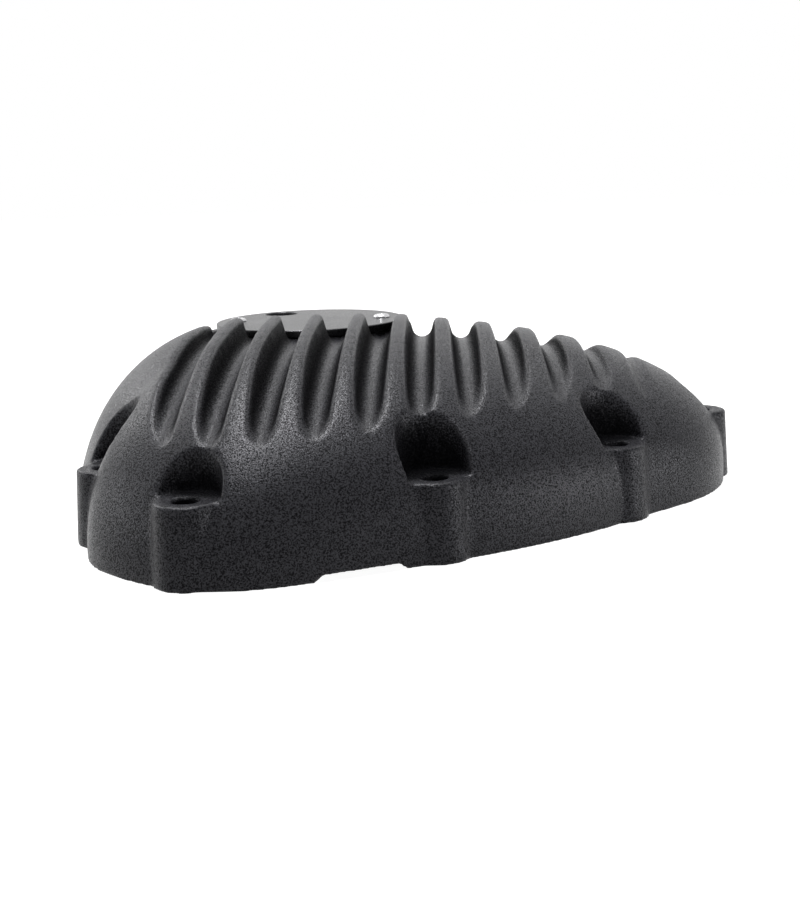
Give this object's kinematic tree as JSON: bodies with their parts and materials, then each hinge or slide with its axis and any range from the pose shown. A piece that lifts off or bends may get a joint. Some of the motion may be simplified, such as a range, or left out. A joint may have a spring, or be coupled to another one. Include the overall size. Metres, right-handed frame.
{
  "type": "alternator cover",
  "caption": "Domed cast cover with rows of cooling ribs, bolt bosses in arched pockets and a round plate on top; it bolts over an engine's alternator.",
  "frame": {"origin": "middle of the overall box at the height of the gasket face", "axes": "+Z out of the engine, away from the gasket face; +X across the ribs towards the narrow nose; +Y along the ribs towards the round plate"},
  "size_m": [0.1994, 0.2184, 0.0529],
  "materials": {
    "casting": "textured black powder coat",
    "plate": "satin black",
    "screws": "bright steel"
  },
  "bodies": {
    "root": {"cover": "casting", "plate": "plate", "screw_left": "screws", "screw_right": "screws"}
  },
  "joints": []
}
